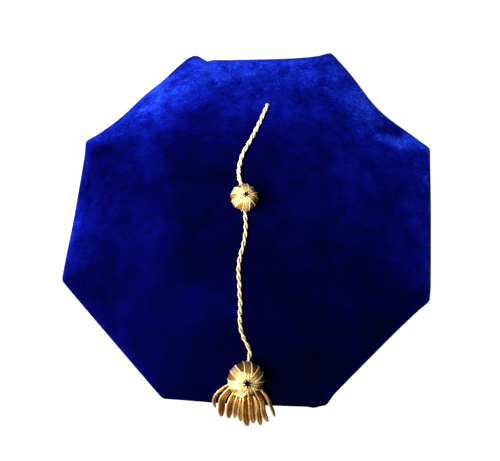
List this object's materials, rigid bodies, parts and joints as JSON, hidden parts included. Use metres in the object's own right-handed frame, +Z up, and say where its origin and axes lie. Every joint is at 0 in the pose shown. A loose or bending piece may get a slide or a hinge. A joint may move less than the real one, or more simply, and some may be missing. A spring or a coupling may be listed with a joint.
{
  "type": "doctoral tam",
  "caption": "Soft eight-sided velvet academic cap on an oval head band, with a gold cord, a sliding wound ball and a bullion tassel lying on its top.",
  "frame": {"origin": "middle of the crown's outline, on the surface that the head band stands on", "axes": "+Z up through the crown, -Y towards the front edge where the tassel lies, +X to the right seen from above"},
  "size_m": [0.2837, 0.3015, 0.1075],
  "materials": {
    "velvet": "royal blue cotton velvet with a deep pile",
    "gold_cord": "two-strand twisted metallic gold cord",
    "gold_ball": "satin gold thread wound from pole to pole",
    "bullion": "bright gilt bullion wire"
  },
  "bodies": {
    "root": {"crown_top": "velvet", "crown_underside": "velvet", "headband": "velvet", "tassel_cord": "gold_cord", "slider_ball": "gold_ball", "tassel_head": "gold_ball", "tassel_fringe": "bullion"}
  },
  "joints": []
}
